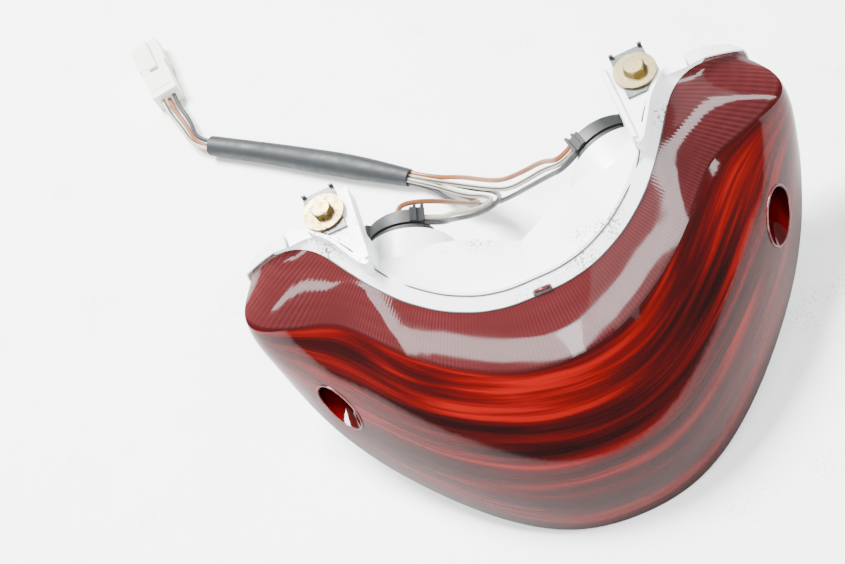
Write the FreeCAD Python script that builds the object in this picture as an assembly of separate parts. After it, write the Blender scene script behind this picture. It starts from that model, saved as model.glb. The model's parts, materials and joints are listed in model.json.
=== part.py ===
import FreeCAD, Part
import math
import os

# Motorcycle tail light, millimetres, lying upside down as it rests on a bench.
# X is across the lamp, -Y is towards the tip of the lens, Z is up, the bench is Z = 0.

V = FreeCAD.Vector
UP = V(0, 0, 1)

# ---------------------------------------------------------------- sizes
LENS_WALL = 2.8
TUB_WALL = 2.6
RIM_WIDTH = 9.0
BOLT_X = 85.75
BOLT_Z = 120.0
BOSS_CENTRE = V(57.4, -7.6, 66.0)
BOSS_TOE = math.radians(13)
BOSS_R = 25.5
BOSS_BORE = 17.0
SOCKET_R = 24.4
WIRE_D = 2.3
SLEEVE_D = 10.0
WELL_X = 123.0
WELL_R = 8.4
WELL_FLOOR = -38.0
WELL_Z = 48.0

# Stations along one horn, from the middle of the lamp to the tip of the horn:
# rim point, lower edge point, then the crease as distance from the rim and height.
STATIONS = [
    (V(0, -85, 98), V(0, -166, 1), 30.3, 82.0),
    (V(21, -83.5, 98.3), V(35, -160, 2), 28.0, 82.8),
    (V(39.5, -76.7, 99), V(69.5, -139.5, 8), 24.0, 84.0),
    (V(58.6, -63.5, 100.5), V(104, -106, 18), 21.0, 85.5),
    (V(74, -47.2, 103), V(122, -83, 24), 19.6, 85.5),
    (V(84.5, -32.7, 105.5), V(135, -62, 31), 22.3, 84.5),
    (V(93.2, -19, 107.5), V(146, -38, 38), 36.5, 81.0),
    (V(101.3, -10, 108.5), V(152, -19, 49), 49.0, 78.0),
    (V(110, -5, 108.5), V(150, -3, 60), 38.5, 82.0),
    (V(120, -1, 107), V(142, 8, 74), 23.0, 89.0),
]

# Back of the tub, right half: X, front Y, front Z, back Y, back Z.
TUB_SECTIONS = [
    (0, -77, 100.5, -42, 85),
    (18, -75, 100.6, -32, 86),
    (36, -71, 101.2, -23.5, 85.5),
    (53, -60, 102.5, -18, 84.5),
    (66, -46, 104.5, -14, 84),
    (77, -31, 107, -12, 84),
]


def mirrored(shape):
    return shape.mirror(V(0, 0, 0), V(1, 0, 0))


def cylinder(radius, start, end):
    return Part.makeCylinder(radius, (end - start).Length, start, end - start)


def polygon_face(points):
    return Part.Face(Part.makePolygon(points + [points[0]]))


def prism(outline, low, high):
    """A straight block over a plan outline of (x, y) pairs."""
    return polygon_face([V(x, y, low) for x, y in outline]).extrude(V(0, 0, high - low))


def station_place(station, d, z):
    """The point at a distance d from the rim of a station, towards its lower edge."""
    rim, foot = station[0], station[1]
    along = V(foot.x - rim.x, foot.y - rim.y, 0)
    along.normalize()
    return V(rim.x + along.x * d, rim.y + along.y * d, z)


def station_reach(station):
    return math.hypot(station[1].x - station[0].x, station[1].y - station[0].y)


def unit2(a, b):
    length = math.hypot(b[0] - a[0], b[1] - a[1])
    return ((b[0] - a[0]) / length, (b[1] - a[1]) / length)


def profile(station, inset):
    """Rim, band middle, crease, face middle and foot of a station, moved inwards by inset."""
    rim = (0.0, station[0].z)
    crease = (station[2], station[3])
    foot = (station_reach(station), station[1].z)
    band = unit2(rim, crease)
    face = unit2(crease, foot)
    band_in = (band[1], -band[0])
    face_in = (face[1], -face[0])
    band_bulge = 0.02 * math.hypot(crease[0], rim[1] - crease[1])
    face_bulge = 0.075 * math.hypot(foot[0] - crease[0], foot[1] - crease[1])
    mid_band = ((rim[0] + crease[0]) / 2, (rim[1] + crease[1]) / 2)
    mid_face = ((crease[0] + foot[0]) / 2, (crease[1] + foot[1]) / 2)
    corner = (band_in[0] + face_in[0], band_in[1] + face_in[1])
    size = math.hypot(corner[0], corner[1])
    corner = (corner[0] / size, corner[1] / size)
    stretch = inset / max(0.4, corner[0] * face_in[0] + corner[1] * face_in[1])
    past = 1.5 if inset > 0 else 0.0
    return [
        (-past, rim[1] - inset * 1.15 - past * band[1]),
        (mid_band[0] - band_in[0] * (band_bulge - inset), mid_band[1] - band_in[1] * (band_bulge - inset)),
        (crease[0] + corner[0] * stretch, crease[1] + corner[1] * stretch),
        (mid_face[0] - face_in[0] * (face_bulge - inset), mid_face[1] - face_in[1] * (face_bulge - inset)),
        (foot[0] - inset * 1.1, foot[1] - past),
    ]


def front_wire(station, inset, overrun):
    """The closed outline of the lens at a station, closed along its rim plane and foot plane."""
    points = profile(station, inset)
    place = [station_place(station, d, z) for d, z in points]
    low = points[4][1] - overrun
    edges = [Part.Arc(place[0], place[1], place[2]).toShape(), Part.Arc(place[2], place[3], place[4]).toShape()]
    corners = [place[4]]
    if overrun > 0:
        corners.append(station_place(station, points[4][0], low))
    corners.append(station_place(station, -overrun, low))
    if overrun > 0:
        corners.append(station_place(station, -overrun, points[0][1]))
    corners.append(place[0])
    for a, b in zip(corners, corners[1:]):
        edges.append(Part.LineSegment(a, b).toShape())
    return Part.Wire(edges)


def flipped(station):
    def over(p):
        return V(-p.x, p.y, p.z)
    return (over(station[0]), over(station[1]), station[2], station[3])


def all_stations(stations):
    return [flipped(s) for s in reversed(stations[1:])] + list(stations)


def loft(wires):
    return Part.makeLoft(wires, True, False, False, 5)


# ---------------------------------------------------------------- lens
def make_lens():
    outer = loft([front_wire(s, 0.0, 0.0) for s in all_stations(STATIONS)])
    inner = loft([front_wire(s, LENS_WALL, 6.0) for s in all_stations(STATIONS[:9])])
    skin = outer.cut(inner)
    for side in (-1, 1):
        start = V(side * WELL_X, -90, WELL_Z)
        tube = cylinder(WELL_R + 2.2, V(side * WELL_X, -75, WELL_Z), V(side * WELL_X, WELL_FLOOR, WELL_Z))
        tube = tube.common(outer)
        skin = skin.fuse(tube)
        skin = skin.cut(cylinder(WELL_R, start, V(side * WELL_X, WELL_FLOOR - LENS_WALL, WELL_Z)))
        skin = skin.cut(cylinder(2.6, start, V(side * WELL_X, WELL_FLOOR + 1, WELL_Z)))
    return skin.removeSplitter()



# ---------------------------------------------------------------- housing
BACK_FOOT = [1, 1, 2, 5, 10, 20, 34, 50, 66, 82]


def channel_wire(station, back_foot, inner):
    """Section of the channel that carries the lens: rim bar, back wall and floor panel."""
    rim_z, foot_z, reach = station[0].z, station[1].z, station_reach(station)
    if inner:
        wall = TUB_WALL - RIM_WIDTH
        local = [(wall, rim_z - 4), (wall, back_foot + TUB_WALL), (reach + 4, foot_z + TUB_WALL), (reach + 4, rim_z - 4)]
    else:
        local = [(-0.2, rim_z), (-RIM_WIDTH, rim_z + 4), (-RIM_WIDTH, back_foot), (reach - 3.8, foot_z), (-0.2, rim_z - 4)]
    places = [station_place(station, d, z) for d, z in local]
    return Part.makePolygon(places + [places[0]])


def cap_wire(station, back_foot, grow):
    """Full section of a horn's white end cap."""
    points = profile(station, -grow)
    place = [station_place(station, d, z) for d, z in points]
    back_top = station_place(station, -RIM_WIDTH, station[0].z + 4)
    back_low = station_place(station, -RIM_WIDTH, back_foot)
    edges = [Part.Arc(place[0], place[1], place[2]).toShape(), Part.Arc(place[2], place[3], place[4]).toShape()]
    corners = [place[4], back_low, back_top, place[0]]
    for a, b in zip(corners, corners[1:]):
        edges.append(Part.LineSegment(a, b).toShape())
    return Part.Wire(edges)


def tub_wire(section, inner):
    """Section of the tub at one X, in the YZ plane."""
    x, front_y, front_z, back_y, back_z = section
    if inner:
        w = TUB_WALL
        a, b = V(x, front_y + 1, front_z - 6.5), V(x, back_y - w, back_z - w)
        rest = [V(x, back_y - w, 23), V(x, back_y - 15, w), V(x, front_y - 10, w), V(x, front_y - 10, front_z - 8)]
    else:
        a, b = V(x, front_y, front_z), V(x, back_y, back_z)
        rest = [V(x, back_y, 22), V(x, back_y - 14, 0), V(x, front_y, 0)]
    mid = (a + b) * 0.5 + V(0, 0, 3.0)
    edges = [Part.Arc(a, mid, b).toShape()]
    corners = [b] + rest + [a]
    for p, q in zip(corners, corners[1:]):
        edges.append(Part.LineSegment(p, q).toShape())
    return Part.Wire(edges)


def boss_axis(side):
    """Boss face centre and the direction from it into the lamp."""
    centre = V(side * BOSS_CENTRE.x, BOSS_CENTRE.y, BOSS_CENTRE.z)
    return centre, V(side * math.sin(BOSS_TOE), -math.cos(BOSS_TOE), 0)


def along_boss(side, t):
    centre, inward = boss_axis(side)
    return centre + inward * t


def boss_cylinder(side, radius, t0, t1):
    return cylinder(radius, along_boss(side, t0), along_boss(side, t1))


TAB_PLATE = [(70.4, 10), (93, 13.5), (97, 5), (97, -6), (87, -18), (76.5, -37.5), (70.4, -37)]
TAB_TOP = 117.2
TAB_THICK = 2.2


def make_tab():
    """Right mounting tab: plate, inner wall, diagonal wall."""
    plate = prism(TAB_PLATE, TAB_TOP - TAB_THICK, TAB_TOP)
    wall = prism([(70.4, 10), (72.8, 10), (72.8, -37.3), (70.4, -37)], 106, TAB_TOP + 2.2)
    web = prism([(70.4, -14), (72.8, -14), (72.8, -38.5), (70.4, -38.5)], 80, 107)
    diagonal = prism([(97, -6), (95.2, -5), (85.4, -17), (75.2, -36), (76.5, -37.5), (87, -18)], 104, TAB_TOP + 1.1)
    nose = prism([(76.5, -37.5), (75.2, -36), (71.4, -36.4), (71.6, -39.4), (73.5, -40)], 90, TAB_TOP + 0.6)
    tab = plate.fuse([wall, web, diagonal, nose])
    tab = tab.cut(cylinder(3.6, V(BOLT_X, 0, 100), V(BOLT_X, 0, 130)))
    return tab


HORN_PLAN = [(88, -11.5), (89.5, -5.5), (93.5, -1), (98.5, 3), (104.5, 6.6), (110.6, 8.2), (110.9, -5.4),
             (102.2, -6.3), (94, -9.6), (89.5, -12.6)]


def tub_half(inner):
    """The right half of the tub, or of the room inside it."""
    sections = list(TUB_SECTIONS)
    if inner:
        sections[-1] = (TUB_SECTIONS[-1][0] - TUB_WALL,) + TUB_SECTIONS[-1][1:]
    return loft([tub_wire(s, inner) for s in sections])


def make_housing():
    paired = list(zip(STATIONS, BACK_FOOT))
    everyone = [(flipped(s), f) for s, f in reversed(paired[1:])] + paired
    channel = loft([channel_wire(s, f, False) for s, f in everyone])
    hollow = loft([channel_wire(s, f, True) for s, f in everyone[1:-1]])
    tip = (V(120, 8, 105.5), V(137, 13, 83), 17.0, 92.0)
    cap = loft([cap_wire(STATIONS[-1], BACK_FOOT[-1], 0.5), cap_wire(tip, 88, 0.0)])
    cap.translate(V(0.3, 0.25, 0))
    boss = boss_cylinder(1, BOSS_R, 0, 26)
    boss_hollow = boss_cylinder(1, BOSS_R - TUB_WALL, 4, 26)
    bore = boss_cylinder(1, BOSS_BORE, -1, 6)
    post = cylinder(5.0, V(WELL_X, WELL_FLOOR + 0.1, WELL_Z), V(WELL_X, -14, WELL_Z))
    post_bore = cylinder(2.45, V(WELL_X, -39, WELL_Z), V(WELL_X, -18, WELL_Z))
    room = tub_half(True)
    well = cylinder(WELL_R + 2.4, V(WELL_X, -82, WELL_Z), V(WELL_X, WELL_FLOOR + 0.2, WELL_Z))
    channel = channel.cut(hollow).cut(well).cut(mirrored(well))
    report("channel hollow", channel)
    channel = channel.cut(room).cut(mirrored(room))
    report("channel room", channel)
    tub = tub_half(False).cut(room)
    report("tub room", tub)
    tub = tub.cut(hollow)
    report("tub hollow", tub)
    tub = tub.cut(boss_cylinder(1, BOSS_R - TUB_WALL, -5, 26))
    report("tub bored", tub)
    boss = boss.cut(boss_hollow).cut(bore).cut(room)
    report("boss", boss)
    half = tub.fuse(boss)
    report("tub and boss", half)
    half = half.fuse(make_tab().cut(room))
    report("tab", half)
    horn = prism(HORN_PLAN, 62, 107.5)
    solid = channel
    for name, shape in (("half", half), ("horn", horn), ("post", post)):
        solid = solid.fuse(shape)
        report(name, solid)
        solid = solid.fuse(mirrored(shape))
        report(name, solid)
    return solid.cut(post_bore).cut(mirrored(post_bore)), cap


def report(name, shape):
    print("  after", name, shape.isValid(), len(shape.Solids), round(shape.Volume, 1))


# ---------------------------------------------------------------- bulbs and sockets
def revolve_on_boss(side, outline):
    """A solid of revolution about the boss axis from (t, radius) pairs, t inwards from the boss face."""
    centre, inward = boss_axis(side)
    points = [centre + inward * t + UP * r for t, r in outline]
    return polygon_face(points).revolve(centre, inward, 360)


COLLAR_ANGLE = 62.0
COLLAR_RADIUS = 22.0
COLLAR_T = -9.0
THUMB_ANGLE = 140.0


def round_place(side, degrees, radius, t):
    """A point round the boss axis, its outward way and its way round; 0 degrees faces the other socket, 90 is up."""
    centre, inward = boss_axis(side)
    angle = math.radians(degrees)
    across = UP.cross(inward) * -side
    outward = across * math.cos(angle) + UP * math.sin(angle)
    lead = across * math.sin(angle) - UP * math.cos(angle)
    return centre + inward * t + outward * radius, outward, lead


def tangent_block(side, degrees, radius, t, size, shift):
    """A box on the rim of the socket: size is (along the lead, along the axis, outwards)."""
    at, outward, lead = round_place(side, degrees, radius, t)
    axial = outward.cross(lead)
    box = Part.makeBox(size[0], size[1], size[2], V(-size[0] / 2 + shift, -size[1] / 2, -size[2] / 2))
    turn = FreeCAD.Matrix(
        lead.x, axial.x, outward.x, at.x, lead.y, axial.y, outward.y, at.y, lead.z, axial.z, outward.z, at.z, 0, 0, 0, 1)
    return box.transformGeometry(turn)


def sector_on_boss(side, outline, start, sweep):
    """A part turn about the boss axis, from start degrees and away from the other socket."""
    centre, inward = boss_axis(side)
    away = round_place(side, start, 1.0, 0.0)[1]
    points = [centre + inward * t + away * r for t, r in outline]
    return polygon_face(points).revolve(centre, inward, -side * sweep)


def make_socket(side):
    r = SOCKET_R
    body = revolve_on_boss(side, [(-1.2, 0), (-1.2, 14.0), (-12.4, 13.4), (-13.4, 12.4), (-13.4, 9.0), (-14.4, 8.0), (-14.4, 0)])
    rim = sector_on_boss(side, [
        (-1.2, 12), (-1.2, r - 0.6), (-3.4, r - 0.6), (-3.4, r - 1.6), (-4.6, r - 1.6), (-4.6, r), (-12.0, r), (-13.4, r - 1.4),
        (-13.4, 12),
    ], COLLAR_ANGLE - 6, 170)
    body = body.fuse(rim)
    neck = boss_cylinder(side, BOSS_BORE - 0.05, -1.2, 14.5)
    centre, inward = boss_axis(side)
    socket = body.fuse(neck)
    for turn in (0, 180):
        lug = Part.makeBox(5.0, 2.6, 2.2, V(-2.5, BOSS_BORE - 1.0, 0))
        lug.rotate(V(0, 0, 0), V(0, 0, 1), turn)
        lug.Placement = FreeCAD.Placement(along_boss(side, 4.2), FreeCAD.Rotation(UP, inward)).multiply(lug.Placement)
        socket = socket.fuse(lug)
    block = tangent_block(side, COLLAR_ANGLE, COLLAR_RADIUS, COLLAR_T, (8.0, 8.6, 5.6), -1.0)
    plates = [
        tangent_block(side, COLLAR_ANGLE, COLLAR_RADIUS - 0.3, COLLAR_T - 0.6, (1.5, 10.6, 9.4), 1.6),
        tangent_block(side, COLLAR_ANGLE, COLLAR_RADIUS - 0.3, COLLAR_T - 0.2, (1.5, 9.8, 8.2), -2.4),
    ]
    thumb = tangent_block(side, THUMB_ANGLE, SOCKET_R + 0.6, COLLAR_T, (3.6, 7.6, 3.6), 0.0)
    socket = socket.fuse([block, thumb] + plates)
    socket = socket.cut(boss_cylinder(side, 8.0, -3.6, 20))
    slot = Part.makeBox(2.4, 24, 6.0, V(-1.2, -12, 0))
    slot.Placement = FreeCAD.Placement(along_boss(side, 8.6), FreeCAD.Rotation(UP, inward))
    socket = socket.cut(slot)
    return socket


def wire_starts(side):
    """Where the three wires leave the collar, and the way they leave."""
    face, outward, lead = round_place(side, COLLAR_ANGLE, COLLAR_RADIUS, COLLAR_T)
    centre, inward = boss_axis(side)
    face = face + lead * 3.0
    return [face + inward * 3.1, face, face - inward * 3.1], lead


def make_gasket(side):
    return revolve_on_boss(side, [(0, BOSS_BORE + 0.8), (0, 20.4), (-1.2, 20.4), (-1.2, BOSS_BORE + 0.8)])


def make_contact(side):
    disc = boss_cylinder(side, 7.2, -3.6, -2.8)
    dimple = boss_cylinder(side, 2.0, -2.8, -2.2)
    return disc.fuse(dimple)


def make_bulb_base(side):
    shell = boss_cylinder(side, 7.9, -1.8, 15.5)
    solder = boss_cylinder(side, 2.2, -2.2, -1.8)
    ring = boss_cylinder(side, 8.6, 15.5, 17.0)
    bore = boss_cylinder(side, 7.0, 1.0, 18.0)
    base = shell.fuse([solder, ring]).cut(bore)
    centre, inward = boss_axis(side)
    for turn in (0, 180):
        lug = Part.makeCylinder(1.1, 2.6, V(6.9, 0, 0), V(1, 0, 0))
        lug.rotate(V(0, 0, 0), V(0, 0, 1), turn + 90)
        lug.Placement = FreeCAD.Placement(along_boss(side, 11.5), FreeCAD.Rotation(UP, inward)).multiply(lug.Placement)
        base = base.fuse(lug)
    return base


GLASS_MIDDLE = 28.0


def glass_solid(side, start, stem, radius):
    """A bulb's envelope turned about the boss axis: a straight stem that opens into a round globe."""
    centre, inward = boss_axis(side)
    neck_t = GLASS_MIDDLE - 0.68 * radius
    neck_r = math.sqrt(radius ** 2 - (GLASS_MIDDLE - neck_t) ** 2)
    corner = [(start, 0), (start, stem), (neck_t - 3.4, stem), (neck_t - 1.3, stem + 0.42 * (neck_r - stem)), (neck_t, neck_r),
              (GLASS_MIDDLE, radius), (GLASS_MIDDLE + radius, 0)]
    p = [centre + inward * t + UP * r for t, r in corner]
    edges = [
        Part.LineSegment(p[0], p[1]).toShape(), Part.LineSegment(p[1], p[2]).toShape(), Part.Arc(p[2], p[3], p[4]).toShape(),
        Part.Arc(p[4], p[5], p[6]).toShape(), Part.LineSegment(p[6], p[0]).toShape(),
    ]
    return Part.Face(Part.Wire(edges)).revolve(centre, inward, 360)


def make_bulb_glass(side):
    return glass_solid(side, 2.0, 6.4, 9.8).cut(glass_solid(side, 3.0, 5.5, 9.0))


def make_filament(side):
    centre, inward = boss_axis(side)
    across = UP.cross(inward)
    across.normalize()
    stem = boss_cylinder(side, 2.6, 3.1, 12.0)
    parts = []
    for k in (-1, 1):
        foot = along_boss(side, 11.0) + across * (k * 1.9)
        tip = along_boss(side, 25.0) + across * (k * 3.4)
        parts.append(cylinder(0.35, foot, tip))
    parts.append(cylinder(0.5, along_boss(side, 24.8) + across * -3.6, along_boss(side, 24.8) + across * 3.6))
    return stem.fuse(parts)


# ---------------------------------------------------------------- reflectors
def make_bowl(side, room):
    """Chromed bowl round a bulb: a turned shell trimmed to the room inside the tub."""
    shell = revolve_on_boss(side, [
        (17.5, 18.2), (20, 22.3), (26.4, 22.6), (30, 28.0), (38, 33.0), (47, 36.5),
        (47, 35.2), (38, 31.7), (30.4, 26.6), (26.9, 21.5), (21, 21.0), (18.7, 18.2),
    ])
    return shell.common(room)


def panel_wire(station, lift):
    """Section of the stepped sheet behind the lens, in the front half of the channel."""
    rim_z, foot_z, reach = station[0].z, station[1].z, station_reach(station)
    top = (-1.5, rim_z - 8.0)
    low = (reach * 0.55, foot_z + 8.0)
    mid = (reach * 0.12, foot_z + 0.42 * (rim_z - foot_z))
    local = [(top[0], top[1]), (mid[0], mid[1]), (low[0], low[1])]
    place = [station_place(station, d, z) for d, z in local]
    over = [station_place(station, d + lift * 0.7, z + lift * 0.7) for d, z in local]
    edges = [
        Part.Arc(place[0], place[1], place[2]).toShape(),
        Part.LineSegment(place[2], over[2]).toShape(),
        Part.Arc(over[2], over[1], over[0]).toShape(),
        Part.LineSegment(over[0], place[0]).toShape(),
    ]
    return Part.Wire(edges)


def make_panel():
    sheet = loft([panel_wire(s, 1.8) for s in all_stations(STATIONS[:7])])
    for side in (-1, 1):
        sheet = sheet.cut(boss_cylinder(side, 36.8, 20, 110))
        sheet = sheet.cut(cylinder(WELL_R + 3.4, V(side * WELL_X, -90, WELL_Z), V(side * WELL_X, 0, WELL_Z)))
    return sheet


# ---------------------------------------------------------------- fasteners
def hexagon(across_flats, low, high, x, y):
    radius = across_flats / math.sqrt(3)
    outline = []
    for k in range(6):
        angle = math.radians(60 * k + 10)
        outline.append((x + radius * math.cos(angle), y + radius * math.sin(angle)))
    return prism(outline, low, high)


CLIP_TOP = TAB_TOP + 1.3
WASHER_TOP = CLIP_TOP + 1.6
NUT_LOW = TAB_TOP - TAB_THICK - 7.5
BOLT_HELD_R = 2.4


CLIP_PLATE = [(-8.8, 15), (8.8, 15), (8.8, -4.6), (1.0, -13.4), (-8.8, -13.4)]


def make_clip_nut():
    """Right clip nut: plate over the tab with one corner cut off, folded round its back edge to a nut below."""
    outline = [(BOLT_X + x, y) for x, y in CLIP_PLATE]
    plate = prism(outline, TAB_TOP, CLIP_TOP)
    fold = prism([(BOLT_X - 7.0, 13.8), (BOLT_X + 7.0, 13.8), (BOLT_X + 7.0, 15), (BOLT_X - 7.0, 15)], TAB_TOP - 3.5, TAB_TOP + 0.6)
    leaf = prism([(BOLT_X - 7, -8), (BOLT_X + 7, -8), (BOLT_X + 7, 15), (BOLT_X - 7, 15)], TAB_TOP - 3.5, TAB_TOP - TAB_THICK)
    ears = [prism([(BOLT_X + x, 14), (BOLT_X + x + 2.2, 14), (BOLT_X + x + 2.2, 15), (BOLT_X + x, 15)], TAB_TOP, CLIP_TOP + 2.4)
            for x in (-8.8, 6.6)]
    barrel = cylinder(5.2, V(BOLT_X, 0, NUT_LOW), V(BOLT_X, 0, TAB_TOP - TAB_THICK))
    clip = plate.fuse([fold, leaf, barrel] + ears)
    clip = clip.cut(prism(TAB_PLATE, TAB_TOP - TAB_THICK, TAB_TOP))
    return clip.cut(cylinder(BOLT_HELD_R, V(BOLT_X, 0, 90), V(BOLT_X, 0, 130)))


def make_washer():
    ring = cylinder(11.0, V(BOLT_X, 0, CLIP_TOP), V(BOLT_X, 0, WASHER_TOP))
    return ring.cut(cylinder(3.2, V(BOLT_X, 0, 100), V(BOLT_X, 0, 130)))


def make_bolt():
    head = hexagon(10.0, WASHER_TOP, WASHER_TOP + 4.2, BOLT_X, 0)
    crown = Part.makeCone(7.4, 4.6, 2.8, V(BOLT_X, 0, WASHER_TOP + 1.6), UP)
    flange = Part.makeCylinder(7.4, 1.6, V(BOLT_X, 0, WASHER_TOP), UP)
    head = head.common(flange.fuse(crown))
    held = cylinder(BOLT_HELD_R, V(BOLT_X, 0, NUT_LOW - 0.5), V(BOLT_X, 0, WASHER_TOP))
    free = cylinder(3.0, V(BOLT_X, 0, 92.0), V(BOLT_X, 0, NUT_LOW - 0.5))
    return head.fuse([held, free])


def make_lens_screw():
    seat_y = WELL_FLOOR - LENS_WALL
    head = cylinder(4.4, V(WELL_X, seat_y - 2.6, WELL_Z), V(WELL_X, seat_y, WELL_Z))
    shank = cylinder(2.4, V(WELL_X, seat_y, WELL_Z), V(WELL_X, -20.0, WELL_Z))
    screw = head.fuse(shank)
    for turn in (0, 90):
        slot = Part.makeBox(5.0, 1.6, 1.2, V(-2.5, seat_y - 3.0, -0.6))
        slot.rotate(V(0, 0, 0), V(0, 1, 0), turn)
        slot.translate(V(WELL_X, 0, WELL_Z))
        screw = screw.cut(slot)
    return screw


# ---------------------------------------------------------------- harness
def cord_wire(points):
    """Straight runs joined by tangent arcs, and the radii of the arcs."""
    edges, radii, at = [], [], points[0]
    for before, corner, after in zip(points, points[1:], points[2:]):
        run_in, run_out = (corner - before), (after - corner)
        shorter = min(run_in.Length, run_out.Length)
        run_in.normalize()
        run_out.normalize()
        half = math.acos(max(-1.0, min(1.0, run_in.dot(run_out)))) / 2
        cut = 0.45 * shorter
        radii.append(cut / math.tan(half))
        start, end = corner - run_in * cut, corner + run_out * cut
        middle_way = run_out - run_in
        middle_way.normalize()
        radius = cut / math.tan(half)
        centre = corner + middle_way * (radius / math.cos(half))
        middle = centre - middle_way * radius
        edges.append(Part.LineSegment(at, start).toShape())
        edges.append(Part.Arc(start, middle, end).toShape())
        at = end
    edges.append(Part.LineSegment(at, points[-1]).toShape())
    return Part.Wire(edges), radii


def make_cord(name, points, diameter):
    path, radii = cord_wire(points)
    lead = points[1] - points[0]
    ring = Part.Wire([Part.makeCircle(diameter / 2, points[0], lead)])
    tube = path.makePipeShell([ring], True, False)
    expected = path.Length * math.pi * diameter * diameter / 4
    turns = " ".join("%.1f" % r for r in radii)
    print("%s length %.1f volume %.3f radii %s" % (name, path.Length, tube.Volume / expected, turns))
    return tube


SLEEVE_PATH = [V(-52.8, 91.2, 6), V(-79, 113, 6.1), V(-108, 136.8, 6.0), V(-138, 161.5, 6.1), V(-166.8, 183.6, 6)]
CONNECTOR_AT = V(-187.5, 239.5, 7.2)
CONNECTOR_WAY = V(-0.14, 0.99, 0)


def sleeve_end(which):
    """A sleeve end's centre, the way out of it and the way across it."""
    points = SLEEVE_PATH if which == "lamp" else SLEEVE_PATH[::-1]
    out = points[0] - points[1]
    out.normalize()
    across = UP.cross(out)
    across.normalize()
    return points[0], out, across


def socket_wires():
    """Points of the six wires between the sockets and the sleeve."""
    end, out, across = sleeve_end("lamp")
    up = out.cross(across)
    starts_r, lead_r = wire_starts(1)
    starts_l, lead_l = wire_starts(-1)
    wires = {}

    def tail(lateral, height, length):
        foot = end + across * lateral + UP * height + out * 0.05
        return [foot + out * length, foot]

    near, mid, far = starts_r
    wires["right_black_wire"] = [
        near, near + lead_r * 10, V(25, 4, 65), V(13, 13.5, 51), V(2, 25.5, 34), V(-9, 35, 21.5),
        V(-22, 46, 13.2), V(-35, 61, 8)] + tail(-2.7, -1.3, 15)
    wires["right_white_wire"] = [
        mid, mid + lead_r * 10, V(25, 9, 65.5), V(13, 18, 51.5), V(1, 27, 39), V(-10.5, 42.5, 28),
        V(-24.5, 62, 16)] + tail(0.0, 1.5, 16)
    wires["right_brown_wire"] = [
        far, far + lead_r * 10, V(25.5, 13, 67.5), V(13, 22, 54.5), V(0, 32, 42), V(-11, 48, 30),
        V(-23, 67, 17)] + tail(2.6, 1.3, 16)
    near, mid, far = starts_l
    wires["left_black_wire"] = [
        near, near + lead_l * 10, V(-31.5, 4.5, 64.5), V(-23, 10.5, 52.5), V(-14.5, 17.5, 42), V(-6.8, 25.5, 34.5),
        V(-4.8, 35.5, 27), V(-10, 48.5, 17.5), V(-21, 62, 9.5)] + tail(2.6, -1.4, 15)
    wires["left_white_wire"] = [
        mid, mid + lead_l * 10, V(-30.5, 9, 63.5), V(-23, 14, 53), V(-15.5, 20, 43), V(-9.3, 28.5, 34.5),
        V(-13, 41.5, 23.5), V(-24.5, 54.5, 14.5)] + tail(-2.6, 1.3, 16)
    rear = round_place(-1, 98, 16.0, -13.4)[0]
    back_way = boss_axis(-1)[1] * -1
    wires["left_brown_wire"] = [
        rear, rear + back_way * 6, V(-51, 14.5, 81), V(-42, 15.5, 75.5), V(-33, 17, 66.5), V(-26.5, 21.5, 54), V(-22, 28, 40.5),
        V(-18, 37, 26), V(-19.5, 50, 11.5), V(-31, 67, 5.8)] + tail(0.0, -1.5, 15)
    return wires


def connector_wires():
    end, out, across = sleeve_end("plug")
    side = V(CONNECTOR_WAY.y, -CONNECTOR_WAY.x, 0)
    side.normalize()
    way = V(CONNECTOR_WAY.x, CONNECTOR_WAY.y, 0)
    way.normalize()
    wires = {}
    rows = [("plug_black_wire", -2.7, 0.9, 4.2), ("plug_brown_wire", 0.0, -1.5, 0.0), ("plug_white_wire", 2.7, 0.9, -4.2)]
    for name, lateral, height, place in rows:
        foot = end + across * lateral + UP * height + out * 0.05
        goal = CONNECTOR_AT + side * place
        goal.z = CONNECTOR_AT.z + height * 0.6
        between = foot * 0.5 + goal * 0.5 + V(-3.0 + 0.12 * place, -1.5, -1.0)
        wires[name] = [foot, foot + out * 13, between, goal - way * 13, goal]
    return wires


def make_connector():
    way = V(CONNECTOR_WAY.x, CONNECTOR_WAY.y, 0)
    way.normalize()
    place = FreeCAD.Placement(CONNECTOR_AT, FreeCAD.Rotation(V(0, 1, 0), way))
    body = Part.makeBox(18, 30, 13.6, V(-9, 0, -6.8))
    shroud = Part.makeBox(20, 24, 14.2, V(-10, 28, -7.1))
    latch = Part.makeBox(6, 26, 1.6, V(-3, 24, 7.9))
    latch_foot = Part.makeBox(6, 5, 1.4, V(-3, 24, 6.7))
    stop = Part.makeBox(18, 2.0, 9.0, V(-9, 6, -1.8))
    mouth = Part.makeBox(16.4, 22, 10.6, V(-8.2, 32, -5.3))
    plug = body.fuse([shroud, latch, latch_foot, stop])
    plug = plug.cut(mouth)
    pins = []
    for k in (-1, 0, 1):
        for z in (-2.6, 2.6):
            plug = plug.cut(Part.makeBox(3.2, 26, 3.2, V(k * 5.2 - 1.6, 8, z - 1.6)))
            blade = Part.makeBox(1.0, 30, 2.0, V(k * 5.2 - 0.5, 10, z - 1.0))
            crimp = Part.makeBox(2.6, 8, 2.6, V(k * 5.2 - 1.3, 8.6, z - 1.3))
            pins.append(blade.fuse(crimp))
    terminals = Part.makeCompound(pins)
    for shape in (plug, terminals):
        shape.Placement = place.multiply(shape.Placement)
    return plug, terminals


FRAME_SHIFT = V(0, 73.8, 0)


def save(name, shape):
    """Writes one piece, with the origin moved to the middle of the lamp's footprint."""
    shape = shape.copy()
    shape.translate(FRAME_SHIFT)
    box = shape.optimalBoundingBox()
    print("%s valid %s solids %d volume %.0f size %.1f %.1f %.1f" % (
        name, shape.isValid(), len(shape.Solids), shape.Volume, box.XLength, box.YLength, box.ZLength))
    shape.exportStep("parts/%s.step" % name)


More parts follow.
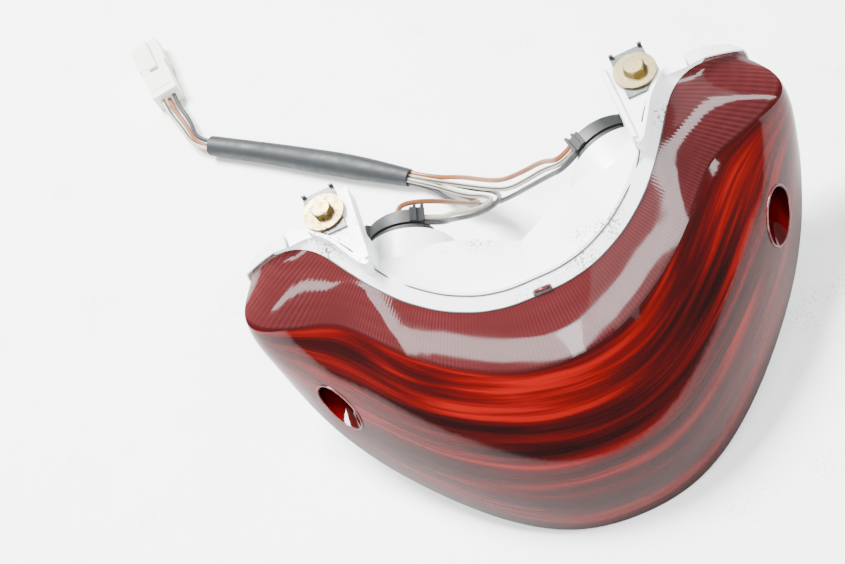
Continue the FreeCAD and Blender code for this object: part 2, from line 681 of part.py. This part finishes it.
def main():
    os.makedirs("parts", exist_ok=True)
    lens = make_lens()
    housing, cap = make_housing()
    report("overlap of lens and housing", housing.common(lens))
    save("lens", lens)
    save("housing", Part.makeCompound([housing, cap, mirrored(cap)]))
    room = tub_half(True)
    bowl = make_bowl(1, room)
    panel = make_panel()
    report("overlap of panel and housing", panel.common(housing))
    report("overlap of panel and lens", panel.common(lens))
    report("overlap of bowl and housing", bowl.common(housing))
    save("reflector_panel", panel)
    pieces = {
        "reflector_bowl": bowl, "bulb_base": make_bulb_base(1), "bulb_glass": make_bulb_glass(1),
        "bulb_filament": make_filament(1), "socket": make_socket(1), "socket_gasket": make_gasket(1),
        "socket_contact": make_contact(1), "mounting_bolt": make_bolt(), "bolt_washer": make_washer(),
        "clip_nut": make_clip_nut(), "lens_screw": make_lens_screw(),
    }
    for name, shape in pieces.items():
        save("right_" + name, shape)
        save("left_" + name, mirrored(shape))
    for name, points in socket_wires().items():
        save(name, make_cord(name, points, WIRE_D))
    for name, points in connector_wires().items():
        save(name, make_cord(name, points, WIRE_D))
    save("harness_sleeve", make_cord("harness_sleeve", SLEEVE_PATH, SLEEVE_D))
    plug, terminals = make_connector()
    save("connector_housing", plug)
    save("connector_terminals", terminals)


main()
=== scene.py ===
import json
import math
import bmesh
import bpy
from mathutils import Euler, Matrix, Vector


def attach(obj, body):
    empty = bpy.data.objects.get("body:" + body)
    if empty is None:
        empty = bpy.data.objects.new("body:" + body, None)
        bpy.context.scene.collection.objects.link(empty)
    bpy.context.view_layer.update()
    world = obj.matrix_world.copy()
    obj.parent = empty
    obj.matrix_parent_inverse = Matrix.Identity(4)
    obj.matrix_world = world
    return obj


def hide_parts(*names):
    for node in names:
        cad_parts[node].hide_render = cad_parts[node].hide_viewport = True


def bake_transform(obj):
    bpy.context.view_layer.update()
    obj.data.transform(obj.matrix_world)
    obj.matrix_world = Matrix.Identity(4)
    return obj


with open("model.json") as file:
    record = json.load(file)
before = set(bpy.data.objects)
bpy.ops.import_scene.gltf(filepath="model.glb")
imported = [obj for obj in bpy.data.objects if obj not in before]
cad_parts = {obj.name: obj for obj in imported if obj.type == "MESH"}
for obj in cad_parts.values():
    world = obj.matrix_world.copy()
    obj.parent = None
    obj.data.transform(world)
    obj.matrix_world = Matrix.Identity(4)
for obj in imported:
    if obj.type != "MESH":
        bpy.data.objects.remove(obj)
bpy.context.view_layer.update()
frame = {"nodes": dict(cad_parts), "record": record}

# ---------------------------------------------------------------- sizes
# Places are in millimetres from the middle between the two mounting bolts, and Z = 0 is the bench.
BOLT_SHIFT = 73.8
WIRE_D = 2.8
UP = Vector((0, 0, 1))
SLEEVE_D = 13.4
WELL_X = 123.0
WELL_Z = 48.0
WELL_R = 8.4
BOSS_TOE = math.radians(13)
BOSS_CENTRE = (57.4, -7.6, 66.0)
# Where the wires leave a socket: angle in degrees, radius, and distance along the socket's axis.
COLLAR = (62, 22, -9)
REAR_EXIT = (98, 16, -13.4)

# Rim of the lens from the middle to the tip of the right horn.
RIM = [
    (0, -85, 98), (21, -83.5, 98.3), (39.5, -76.7, 99), (58.6, -63.5, 100.5), (74, -47.2, 103),
    (84.5, -32.7, 105.5), (93.2, -19, 107.5),
]
TAB_PLACE = (1.5, -83.2, 98.8)
TAB_WAY = (1.0, -0.05)
# Height of the crease and of the lower edge of the lens against the distance from its middle.
CREASE = [(0, 82.0), (26, 82.8), (50, 84.0), (74, 85.5), (90, 85.5), (104, 84.5), (127, 81.0), (150, 79.0)]
LOWER_EDGE = [(0, 1), (35, 2), (69.5, 8), (104, 18), (122, 24), (135, 31), (146, 38), (152, 49)]


def place(x, y, z):
    return Vector((x, y + BOLT_SHIFT, z)) / 1000.0


def new_object(name, data):
    """An object in the scene's own collection."""
    item = bpy.data.objects.new(name, data)
    bpy.context.scene.collection.objects.link(item)
    return item


# ---------------------------------------------------------------- node helpers
class Shader:
    """A material under construction, with short names for the nodes used here."""

    def __init__(self, name):
        self.material = bpy.data.materials.new(name)
        self.material.use_nodes = True
        self.nodes = self.material.node_tree.nodes
        self.nodes.clear()
        self.links = self.material.node_tree.links
        self.out = self.nodes.new("ShaderNodeOutputMaterial")
        self.coord = self.nodes.new("ShaderNodeTexCoord")

    def feed(self, socket, value):
        if isinstance(value, bpy.types.NodeSocket):
            self.links.new(value, socket)
        else:
            socket.default_value = value

    def maths(self, operation, a, b=0.0):
        node = self.nodes.new("ShaderNodeMath")
        node.operation = operation
        self.feed(node.inputs[0], a)
        self.feed(node.inputs[1], b)
        return node.outputs[0]

    def span(self, value, low, high, to_low=0.0, to_high=1.0):
        node = self.nodes.new("ShaderNodeMapRange")
        self.feed(node.inputs["Value"], value)
        node.inputs["From Min"].default_value = low
        node.inputs["From Max"].default_value = high
        node.inputs["To Min"].default_value = to_low
        node.inputs["To Max"].default_value = to_high
        return node.outputs["Result"]

    def vector(self, x, y, z=0.0):
        node = self.nodes.new("ShaderNodeCombineXYZ")
        self.feed(node.inputs[0], x)
        self.feed(node.inputs[1], y)
        self.feed(node.inputs[2], z)
        return node.outputs[0]

    def noise(self, scale, detail=3.0, vector=None, low=0.3, high=0.7):
        node = self.nodes.new("ShaderNodeTexNoise")
        node.inputs["Scale"].default_value = scale
        node.inputs["Detail"].default_value = detail
        self.links.new(vector or self.coord.outputs["Object"], node.inputs["Vector"])
        return self.span(node.outputs["Fac"], low, high)

    def mix(self, fac, a, b):
        node = self.nodes.new("ShaderNodeMix")
        node.data_type = "RGBA"
        self.feed(node.inputs[0], fac)
        self.feed(node.inputs[6], (*a, 1) if isinstance(a, tuple) else a)
        self.feed(node.inputs[7], (*b, 1) if isinstance(b, tuple) else b)
        return node.outputs[2]

    def ramp(self, value, stops):
        node = self.nodes.new("ShaderNodeValToRGB")
        self.feed(node.inputs[0], value)
        points = node.color_ramp.elements
        while len(points) < len(stops):
            points.new(0.5)
        for point, (at, colour) in zip(points, stops):
            point.position = at
            point.color = (*colour, 1)
        return node.outputs["Color"]

    def curve(self, value, points, reach):
        """A height in metres read from a few (distance, height) pairs in millimetres."""
        tallest = 100.0
        node = self.nodes.new("ShaderNodeFloatCurve")
        self.feed(node.inputs["Value"], self.span(value, 0.0, reach / 1000))
        line = node.mapping.curves[0].points
        while len(line) < len(points):
            line.new(0.5, 0.5)
        for point, (x, z) in zip(line, points):
            point.location = (x / reach, z / tallest)
        node.mapping.update()
        return self.maths("MULTIPLY", node.outputs[0], tallest / 1000)

    def bump(self, height, strength, distance):
        node = self.nodes.new("ShaderNodeBump")
        node.inputs["Strength"].default_value = strength
        node.inputs["Distance"].default_value = distance
        self.feed(node.inputs["Height"], height)
        return node.outputs["Normal"]

    def principled(self, colour, rough, metal=0.0, normal=None, ior=1.5):
        node = self.nodes.new("ShaderNodeBsdfPrincipled")
        self.feed(node.inputs["Base Color"], colour)
        self.feed(node.inputs["Roughness"], rough)
        node.inputs["Metallic"].default_value = metal
        node.inputs["IOR"].default_value = ior
        if normal:
            self.links.new(normal, node.inputs["Normal"])
        return node

    def see_through(self, gloss, share, tint=(1, 1, 1)):
        """Gloss mixed with a clear shader; share is how much of the mix is gloss."""
        clear = self.nodes.new("ShaderNodeBsdfTransparent")
        clear.inputs["Color"].default_value = (*tint, 1)
        mix = self.nodes.new("ShaderNodeMixShader")
        mix.inputs["Fac"].default_value = share
        self.links.new(clear.outputs[0], mix.inputs[1])
        self.links.new(gloss.outputs[0], mix.inputs[2])
        return self.finish(mix.outputs[0])

    def finish(self, shader_socket):
        self.links.new(shader_socket, self.out.inputs["Surface"])
        return self.material


# ---------------------------------------------------------------- materials
def plain(name, a, b, scale, rough, metal=0.0, bump=0.0, grain=400.0, scuff=None):
    """A finish that drifts between two colours and two roughnesses, with a fine grain and optional scuffs."""
    s = Shader(name)
    colour = s.mix(s.noise(scale), a, b)
    if scuff:
        patch = s.noise(24.0, 2.0, low=0.56, high=0.68)
        marks = s.noise(700.0, 6.0, low=0.52, high=0.60)
        colour = s.mix(s.maths("MULTIPLY", patch, marks), colour, scuff)
    normal = s.bump(s.noise(grain, 5.0), bump, 0.0002) if bump else None
    base = s.principled(colour, s.span(s.noise(scale * 2.7), 0, 1, *rough), metal, normal)
    return s.finish(base.outputs[0])


def red_lens():
    """Moulded red lens: a ribbed band next to the rim, and a face whose streaks are a painted reflection of
    the mirror behind it, with painted shade towards its lower edge, towards the horns and along the crease.
    """
    s = Shader("lens_red")
    split = s.nodes.new("ShaderNodeSeparateXYZ")
    s.links.new(s.coord.outputs["Object"], split.inputs[0])
    x, y, z = split.outputs
    side = s.maths("ABSOLUTE", x)
    crease = s.curve(side, CREASE, 150.0)
    edge = s.curve(side, LOWER_EDGE, 152.0)
    above = s.maths("SUBTRACT", z, crease)
    rise = s.maths("DIVIDE", s.maths("SUBTRACT", z, edge), s.maths("SUBTRACT", crease, edge))
    around = s.maths("ARCTAN2", x, s.maths("SUBTRACT", 0.075, y))

    # The face: a painted reflection of the mirror behind the lens, as long level streaks that fan out towards
    # the horns, broken by dark pools.
    drift = s.maths("MULTIPLY", s.noise(1.1, 0.0, s.vector(around, rise)), 0.07)
    level = s.maths("ADD", rise, drift)
    wide_at = s.vector(s.maths("MULTIPLY", around, 1.3), s.maths("MULTIPLY", level, 12.0), 0.7)
    fine_at = s.vector(s.maths("MULTIPLY", around, 2.2), s.maths("MULTIPLY", level, 46.0), 3.1)
    wide = s.noise(1.0, 1.0, wide_at, 0.28, 0.72)
    fine = s.noise(1.0, 2.0, fine_at, 0.30, 0.70)
    painted_reflection_streak = s.maths("ADD", s.maths("MULTIPLY", wide, 0.66), s.maths("MULTIPLY", fine, 0.34))
    face = s.ramp(painted_reflection_streak, [
        (0.22, (0.009, 0.0004, 0.0005)), (0.45, (0.034, 0.0004, 0.0005)),
        (0.62, (0.075, 0.0005, 0.0006)), (0.88, (0.22, 0.0022, 0.0008)),
    ])
    # Painted shade: the face turns a duller, darker red towards its lower part.
    face = s.mix(s.span(rise, 0.60, 0.10, 0.0, 0.60), face, (0.026, 0.0016, 0.0022))
    # Painted shade: a duller, darker red towards the horns.
    face = s.mix(s.span(side, 0.085, 0.150, 0.0, 0.40), face, (0.045, 0.0008, 0.0010))
    # Painted shade: darkest in a strip along the lower edge of the lens.
    face = s.mix(s.span(rise, 0.07, 0.015), face, (0.012, 0.001, 0.0012))

    # The band: fine ribs by the angle round the lens, and steps by the height above the crease.
    rib_rate = 340.0
    step_rate = 1500.0
    ribs = s.maths("SINE", s.maths("MULTIPLY", around, rib_rate))
    steps = s.maths("SINE", s.maths("MULTIPLY", above, step_rate))
    weave = s.span(s.maths("ADD", ribs, s.maths("MULTIPLY", steps, 0.25)), -1.25, 1.25)
    band = s.mix(weave, (0.042, 0.0060, 0.0070), (0.100, 0.0170, 0.0190))
    band = s.mix(s.noise(22.0, 3.0), band, (0.060, 0.0090, 0.0100))
    is_band = s.span(above, -0.0002, 0.0004)
    # Painted shade: a dark line along the crease between band and face.
    line = s.maths("MULTIPLY", s.span(above, -0.0012, -0.0004), s.span(above, 0.0014, 0.0004))
    colour = s.mix(is_band, face, band)
    colour = s.mix(s.maths("MULTIPLY", line, 0.75), colour, (0.022, 0.0012, 0.0014))

    ribbed = s.maths("MULTIPLY", s.span(above, 0.0085, 0.0110), weave)
    normal = s.bump(ribbed, 0.12, 0.00004)
    gloss = s.principled(colour, s.span(s.noise(30.0), 0, 1, 0.035, 0.075), 0.0, normal, 1.36)
    return s.see_through(gloss, 0.90, (0.72, 0.02, 0.02))


def clear_glass():
    """Bulb glass: mostly clear, with a thin gloss."""
    s = Shader("bulb_glass")
    gloss = s.principled(s.mix(s.noise(20.0), (0.85, 0.85, 0.85), (0.78, 0.78, 0.78)), 0.03)
    return s.see_through(gloss, 0.25)


M = {
    "red_lens": red_lens(),
    "white_housing": plain("housing_white", (0.84, 0.85, 0.85), (0.76, 0.775, 0.775), 14, (0.26, 0.40),
                           bump=0.05, scuff=(0.12, 0.12, 0.12)),
    "chrome": plain("reflector_chrome", (0.86, 0.86, 0.86), (0.74, 0.74, 0.75), 22, (0.08, 0.16), metal=1.0),
    "brass": plain("brass", (0.70, 0.55, 0.28), (0.62, 0.48, 0.24), 60, (0.25, 0.4), metal=1.0),
    "clear_glass": clear_glass(),
    "tungsten": plain("filament_wire", (0.3, 0.3, 0.31), (0.4, 0.4, 0.4), 80, (0.3, 0.4), metal=1.0),
    "black_rubber": plain("socket_black", (0.005, 0.0055, 0.006), (0.011, 0.012, 0.013), 40, (0.5, 0.68),
                          bump=0.12),
    "black_gasket": plain("gasket_black", (0.02, 0.02, 0.02), (0.03, 0.03, 0.03), 50, (0.6, 0.7), bump=0.1),
    "yellow_zinc": plain("zinc_yellow", (0.30, 0.225, 0.09), (0.22, 0.19, 0.115), 110, (0.34, 0.52),
                         metal=1.0, bump=0.15, scuff=(0.12, 0.09, 0.05)),
    "grey_zinc": plain("zinc_grey", (0.13, 0.135, 0.14), (0.07, 0.075, 0.08), 120, (0.4, 0.6),
                       metal=0.8, bump=0.2, scuff=(0.10, 0.09, 0.08)),
    "dark_steel": plain("screw_steel", (0.40, 0.36, 0.30), (0.24, 0.21, 0.18), 150, (0.35, 0.55), metal=0.8),
    "grey_sleeve": plain("sleeve_vinyl", (0.0035, 0.006, 0.0078), (0.007, 0.0105, 0.013), 60, (0.50, 0.68),
                         bump=0.2, grain=160.0),
    "nylon": plain("plug_nylon", (0.74, 0.73, 0.64), (0.66, 0.65, 0.57), 70, (0.3, 0.42), bump=0.05),
    "tin": plain("terminal_tin", (0.6, 0.6, 0.6), (0.5, 0.5, 0.5), 100, (0.3, 0.4), metal=1.0),
    "wire_black": plain("wire_black", (0.014, 0.014, 0.016), (0.030, 0.030, 0.034), 90, (0.28, 0.42)),
    "wire_white": plain("wire_white", (0.46, 0.42, 0.31), (0.38, 0.34, 0.25), 90, (0.28, 0.42)),
    "wire_brown": plain("wire_brown", (0.19, 0.060, 0.014), (0.14, 0.045, 0.010), 90, (0.28, 0.40)),
}
# Dark line finish: the real joint between lens and housing, and painted shade along the housing's groove and
# in the rim notch.
joint_and_shade_line = plain("joint_and_groove_shadow", (0.02, 0.02, 0.022), (0.07, 0.07, 0.075), 90, (0.6, 0.75))
# Painted shade: a greyer dark red for the ring round the mouth of each screw well.
well_mouth_shade = plain("well_mouth_painted_shade", (0.055, 0.012, 0.014), (0.12, 0.035, 0.038), 120, (0.12, 0.25))

slot_of = {s["node"]: s["material_slot"] for s in frame["record"]["subparts"]}
for node_name, node in frame["nodes"].items():
    node.data.materials.clear()
    node.data.materials.append(M[slot_of[node_name]])


# ---------------------------------------------------------------- camera
# The camera's own directions, its lens and its place come from a fit to the photograph.
right = Vector((0.9071, -0.2647, -0.3274))
up = Vector((0.4035, 0.7685, 0.4966))
ahead = Vector((-0.1201, 0.5826, -0.8039))
camera_data = bpy.data.cameras.new("camera")
camera_data.sensor_width = 36.0
camera_data.lens = 64.66
camera = new_object("camera", camera_data)
turn = Matrix((right, up, -ahead)).transposed().to_4x4()
camera.matrix_world = Matrix.Translation(place(38.4, -490.5, 706.1)) @ turn
bpy.context.scene.camera = camera


# ---------------------------------------------------------------- harness
def nurbs_curve(name, points, radius, swell=None):
    """A NURBS cord through given points in metres; swell scales the radius at each point."""
    data = bpy.data.curves.new(name, "CURVE")
    data.dimensions = "3D"
    data.resolution_u = 12
    data.bevel_depth = radius
    data.bevel_resolution = 5
    data.use_fill_caps = True
    spline = data.splines.new("NURBS")
    spline.points.add(len(points) - 1)
    for i, (point, at) in enumerate(zip(spline.points, points)):
        point.co = (*at, 1)
        point.radius = swell[i] if swell else 1.0
    spline.order_u = 3
    spline.use_endpoint_u = True
    return new_object(name, data)


def line_of(item):
    """The points that a curve's own spline follows, read from a copy with no thickness."""
    data = item.data.copy()
    data.bevel_depth = 0
    bare = new_object("bare_line", data)
    bpy.context.view_layer.update()
    mesh = bpy.data.meshes.new_from_object(bare.evaluated_get(bpy.context.evaluated_depsgraph_get()))
    line = [tuple(v.co) for v in mesh.vertices]
    bpy.data.meshes.remove(mesh)
    bpy.data.objects.remove(bare)
    bpy.data.curves.remove(data)
    return line


def tube_of(item):
    """A mesh tube made from a curve, which takes the curve's place and name."""
    bpy.context.view_layer.update()
    seen = item.evaluated_get(bpy.context.evaluated_depsgraph_get())
    mesh = bpy.data.meshes.new_from_object(seen)
    name = item.name
    bpy.data.objects.remove(item)
    tube = new_object(name, mesh)
    for face in mesh.polygons:
        face.use_smooth = True
    return tube


def length_of(points):
    return sum((Vector(b) - Vector(a)).length for a, b in zip(points, points[1:]))


def boss_point(side, degrees, radius, t):
    """A place on a bulb socket: an angle round its axis, a radius, and a distance along it."""
    inward = Vector((side * math.sin(BOSS_TOE), -math.cos(BOSS_TOE), 0))
    across = Vector((-side * math.cos(BOSS_TOE), -math.sin(BOSS_TOE), 0))
    angle = math.radians(degrees)
    spoke = across * math.cos(angle) + UP * math.sin(angle)
    centre = Vector((side * BOSS_CENTRE[0], *BOSS_CENTRE[1:]))
    return centre + inward * t + spoke * radius


# The sleeve lies on the bench; its two ends give the wires their places.
SLEEVE = [(-52.8, 91.2, 6.4), (-79, 113, 7.9), (-108, 136.8, 7.7), (-138, 161.5, 7.2), (-166.8, 183.6, 6.8)]
SWELL = [0.80, 1.14, 1.10, 0.98, 0.97]
CONNECTOR_AT = Vector((-187.5, 239.5, 7.2))
CONNECTOR_WAY = Vector((-0.14, 0.99, 0)).normalized()
# A wire starts this far outside the sleeve's end face, and runs straight this far before its plug.
END_GAP = 0.05
PLUG_LEAD = 13


def sleeve_end(first, second):
    """End of the sleeve, the way out of it, and the level way across that."""
    end = Vector(first)
    out = (end - Vector(second)).normalized()
    return end, out, UP.cross(out).normalized()


def socket_wires():
    """Points of the six wires from the two sockets to the sleeve."""
    end, out, across = sleeve_end(SLEEVE[0], SLEEVE[1])

    def tail(lateral, height, length):
        foot = end + across * lateral + UP * height + out * END_GAP
        return [foot + out * length, foot]

    def lead(side, level):
        """First two points of a wire that leaves a socket; level is its row across the collar."""
        start = boss_point(side, *COLLAR)
        way = (boss_point(side, COLLAR[0] - 90, 1, 0) - boss_point(side, 0, 0, 0)).normalized()
        inward = (boss_point(side, 0, 0, 1) - boss_point(side, 0, 0, 0)).normalized()
        start = start + way * 3.0 + inward * level
        return [start, start + way * 10]

    rear = boss_point(-1, *REAR_EXIT)
    rear_way = (boss_point(-1, 0, 0, -1) - boss_point(-1, 0, 0, 0)).normalized()
    return {
        "right_black_wire": lead(1, 3.1) + [
            (25, 4, 65), (13, 13.5, 51), (2, 25.5, 34), (-9, 35, 21.5), (-22, 46, 13.2), (-35, 61, 8),
        ] + tail(-2.7, -1.3, 15),
        "right_white_wire": lead(1, 0.0) + [
            (25, 9, 65.5), (13, 18, 51.5), (1, 27, 39), (-10.5, 42.5, 28), (-24.5, 62, 16),
        ] + tail(0.0, 1.5, 16),
        "right_brown_wire": lead(1, -3.1) + [
            (25.5, 13, 67.5), (13, 22, 54.5), (0, 32, 42), (-11, 48, 30), (-23, 67, 17),
        ] + tail(2.6, 1.3, 16),
        "left_black_wire": lead(-1, 3.1) + [
            (-31.5, 4.5, 64.5), (-23, 10.5, 52.5), (-14.5, 17.5, 42), (-6.8, 25.5, 34.5), (-4.8, 35.5, 27),
            (-10, 48.5, 17.5), (-21, 62, 9.5),
        ] + tail(2.6, -1.4, 15),
        "left_white_wire": lead(-1, 0.0) + [
            (-30.5, 9, 63.5), (-23, 14, 53), (-15.5, 20, 43), (-9.3, 28.5, 34.5), (-13, 41.5, 23.5),
            (-24.5, 54.5, 14.5),
        ] + tail(-2.6, 1.3, 16),
        "left_brown_wire": [rear, rear + rear_way * 6] + [
            (-51, 14.5, 81), (-42, 15.5, 75.5), (-33, 17, 66.5), (-26.5, 21.5, 54), (-22, 28, 40.5),
            (-18, 37, 26), (-19.5, 50, 11.5), (-31, 67, 5.8),
        ] + tail(0.0, -1.5, 15),
    }


def plug_wires():
    """Points of the three wires from the sleeve to the connector."""
    end, out, across = sleeve_end(SLEEVE[-1], SLEEVE[-2])
    side = Vector((CONNECTOR_WAY.y, -CONNECTOR_WAY.x, 0))
    wires = {}
    # Name, then the place across and above the sleeve's axis, then the place across the connector.
    rows = [
        ("plug_black_wire", -2.7, 0.9, 4.2),
        ("plug_brown_wire", 0.0, -1.5, 0.0),
        ("plug_white_wire", 2.7, 0.9, -4.2),
    ]
    for name, lateral, height, shift in rows:
        foot = end + across * lateral + UP * height + out * END_GAP
        goal = CONNECTOR_AT + side * shift
        goal.z = CONNECTOR_AT.z + height * 0.6
        between = foot * 0.5 + goal * 0.5 + Vector((-3.0 + 0.12 * shift, -1.5, -1.0))
        wires[name] = [foot, foot + out * PLUG_LEAD, between, goal - CONNECTOR_WAY * PLUG_LEAD, goal]
    return wires


def finish_cord(item, colour):
    item.data.materials.clear()
    item.data.materials.append(M[colour])


def stripe_points(line, radius, degrees):
    """A line along one side of a wire, just proud of its insulation."""
    points = []
    for i, at in enumerate(line):
        way = (Vector(line[min(i + 1, len(line) - 1)]) - Vector(line[max(i - 1, 0)])).normalized()
        over = (UP - way * UP.dot(way)).normalized()
        aside = way.cross(over)
        angle = math.radians(degrees)
        points.append(Vector(at) + (over * math.cos(angle) + aside * math.sin(angle)) * radius)
    return points


def add_stripe(name, line, degrees):
    """The dark tracer stripe on a white wire, as a thin tube of its own."""
    radius = WIRE_D / 2000
    route = stripe_points(line[::3] + line[-1:], radius * 0.62, degrees)
    stripe = nurbs_curve(name + "_stripe", route, radius * 0.50)
    stripe.data.bevel_resolution = 2
    stripe.data.resolution_u = 4
    stripe.data.materials.append(M["wire_black"])
    return stripe


for name, points in socket_wires().items():
    cord = nurbs_curve(name + "_run", [place(*p) for p in points], WIRE_D / 2000)
    line = line_of(cord)
    tube = tube_of(cord)
    finish_cord(tube, "wire_" + name.split("_")[1])
    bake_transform(tube)
    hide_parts(name)
    if "white" in name:
        stripe = tube_of(add_stripe(name, line, -30))
        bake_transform(stripe)

sleeve = nurbs_curve("harness_sleeve_run", [place(*p) for p in SLEEVE], SLEEVE_D / 2000, SWELL)
finish_cord(sleeve, "grey_sleeve")
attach(sleeve, "lamp")
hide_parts("harness_sleeve")
length_of(line_of(sleeve))

for name, points in plug_wires().items():
    cord = nurbs_curve(name + "_run", [place(*p) for p in points], WIRE_D / 2000)
    finish_cord(cord, "wire_" + name.split("_")[1])
    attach(cord, "lamp")
    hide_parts(name)
    length_of(line_of(cord))
    if "white" in name:
        stripe = add_stripe(name, line_of(cord), 30)
        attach(stripe, "lamp")


# ---------------------------------------------------------------- seams and small trim
def seam(name, points, radius, closed=False):
    """A thin dark line: the joint between two mouldings, painted shade along a groove, and painted shade
    round the mouth of a screw well.
    """
    data = bpy.data.curves.new(name, "CURVE")
    data.dimensions = "3D"
    data.bevel_depth = radius
    data.bevel_resolution = 2
    spline = data.splines.new("BEZIER")
    spline.bezier_points.add(len(points) - 1)
    for point, at in zip(spline.bezier_points, points):
        point.co = at
        point.handle_left_type = "AUTO"
        point.handle_right_type = "AUTO"
    spline.use_cyclic_u = closed
    return new_object(name, data)


def rim_line(inward, lift):
    """Both halves of a line that follows the rim at a distance inside it."""
    half = []
    for i, (x, y, z) in enumerate(RIM):
        before = Vector(RIM[max(i - 1, 0)])
        after = Vector(RIM[min(i + 1, len(RIM) - 1)])
        way = (after - before).normalized()
        inside = UP.cross(way).normalized()
        half.append(Vector((x, y, z)) + inside * inward + UP * lift)
    other = [Vector((-p.x, p.y, p.z)) for p in reversed(half[1:])]
    return [place(*p) for p in other + half]


rim_seam = seam("lens_rim_seam", rim_line(0.15, 0.05), 0.00035)
rim_seam.data.materials.append(joint_and_shade_line)
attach(rim_seam, "lamp")


def dropped(points, node):
    """The same line let down onto a CAD part from above."""
    landed = []
    for at in points:
        hit, there = node.ray_cast(at + UP * 0.05, -UP)[:2]
        if hit:
            landed.append(there + UP * 0.00005)
    return landed


# Painted shade: a dark line laid on the housing along its groove.
groove = seam("housing_groove", dropped(rim_line(7.4, 0), frame["nodes"]["housing"]), 0.00045)
groove.data.materials.append(joint_and_shade_line)
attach(groove, "lamp")


def rounded_block(name, centre, along, size, round_off):
    """A small block with rounded edges, its length laid along a level direction."""
    mesh = bpy.data.meshes.new(name)
    solid = bmesh.new()
    bmesh.ops.create_cube(solid, size=1.0)
    bmesh.ops.scale(solid, vec=Vector(size) / 1000, verts=solid.verts)
    bmesh.ops.bevel(solid, geom=solid.edges[:], offset=round_off / 1000, segments=3, affect="EDGES")
    turn = Matrix.Rotation(math.atan2(along[1], along[0]), 4, "Z")
    bmesh.ops.transform(solid, matrix=Matrix.Translation(place(*centre)) @ turn, verts=solid.verts)
    solid.to_mesh(mesh)
    solid.free()
    for face in mesh.polygons:
        face.use_smooth = True
    return new_object(name, mesh)


# The lens has one small tab that shows in a notch of the rim; the dark block under it is painted shade in the
# notch.
TAB_ROWS = [
    ("rim_notch", (9.6, 4.0, 0.8), 0.0, joint_and_shade_line),
    ("lens_tab", (7.6, 2.6, 0.9), 0.3, M["red_lens"]),
]
for name, size, lift, finish in TAB_ROWS:
    tab = rounded_block(name, (TAB_PLACE[0], TAB_PLACE[1], TAB_PLACE[2] + lift), TAB_WAY, size, 0.25)
    tab.data.materials.append(finish)
    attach(tab, "lamp")

# The lip of each screw well is found by rays cast at the lens from in front, in a ring round the well; the
# ring drawn there is painted shade round the well's mouth.
lens_node = frame["nodes"]["lens"]
LIP_R = WELL_R + 0.5
LIP_POINTS = 24
for side_name, side in (("left", -1), ("right", 1)):
    mouth = []
    for k in range(LIP_POINTS):
        angle = math.tau * k / LIP_POINTS
        start = place(side * WELL_X + LIP_R * math.cos(angle), -200, WELL_Z + LIP_R * math.sin(angle))
        hit, at, normal = lens_node.ray_cast(start, Vector((0, 1, 0)))[:3]
        if hit:
            mouth.append(at + normal * 0.0001)
    if len(mouth) > LIP_POINTS / 2:
        lip = seam(side_name + "_well_lip", mouth, 0.0006, True)
        lip.data.materials.append(well_mouth_shade)
        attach(lip, "lamp")


# ---------------------------------------------------------------- stage
def aimed(at, to):
    """The turn that points a light from one place at another."""
    return (Vector(to) - Vector(at)).to_track_quat("-Z", "Y")


def tilted(back, yaw):
    """The turn of a light tipped back and swung round by angles in degrees."""
    return Euler((math.radians(back), 0, math.radians(yaw))).to_quaternion()


def area_light(name, at, turn, size, power):
    """A white rectangular lamp."""
    data = bpy.data.lights.new(name, "AREA")
    data.shape = "RECTANGLE"
    data.size, data.size_y = size
    data.energy = power
    light = new_object(name, data)
    light.location = at
    light.rotation_mode = "QUATERNION"
    light.rotation_quaternion = turn


floor_mesh = bpy.data.meshes.new("bench")
floor_mesh.from_pydata([(-4, -4, 0), (4, -4, 0), (4, 4, 0), (-4, 4, 0)], [], [(0, 1, 2, 3)])
floor = new_object("bench", floor_mesh)
floor.location.z = -0.0004
floor_mesh.materials.append(plain("bench_paint", (0.86, 0.875, 0.865), (0.83, 0.85, 0.84), 2.0, (0.5, 0.6),
                                scuff=(0.62, 0.63, 0.62)))

world = bpy.data.worlds.new("studio")
bpy.context.scene.world = world
world.use_nodes = True
world.node_tree.nodes["Background"].inputs["Color"].default_value = (0.94, 0.97, 0.97, 1)
world.node_tree.nodes["Background"].inputs["Strength"].default_value = 0.62

KEY_AT = (-0.5, 0.9, 1.5)
FILL_AT = (0.9, -0.5, 1.4)
LAMP_MIDDLE = (0, 0, 0.05)
area_light("key", KEY_AT, aimed(KEY_AT, LAMP_MIDDLE), (0.8, 0.5), 190)
area_light("fill", FILL_AT, aimed(FILL_AT, LAMP_MIDDLE), (1.2, 1.2), 10)
# Two long lamps in front, whose reflection is the grey strip above the crease of the lens.
for name, side in (("strip_left", -1), ("strip_right", 1)):
    area_light(name, (side * 1.28, -0.57, 1.3), tilted(-22, side * 6.0), (2.7, 0.30), 58)
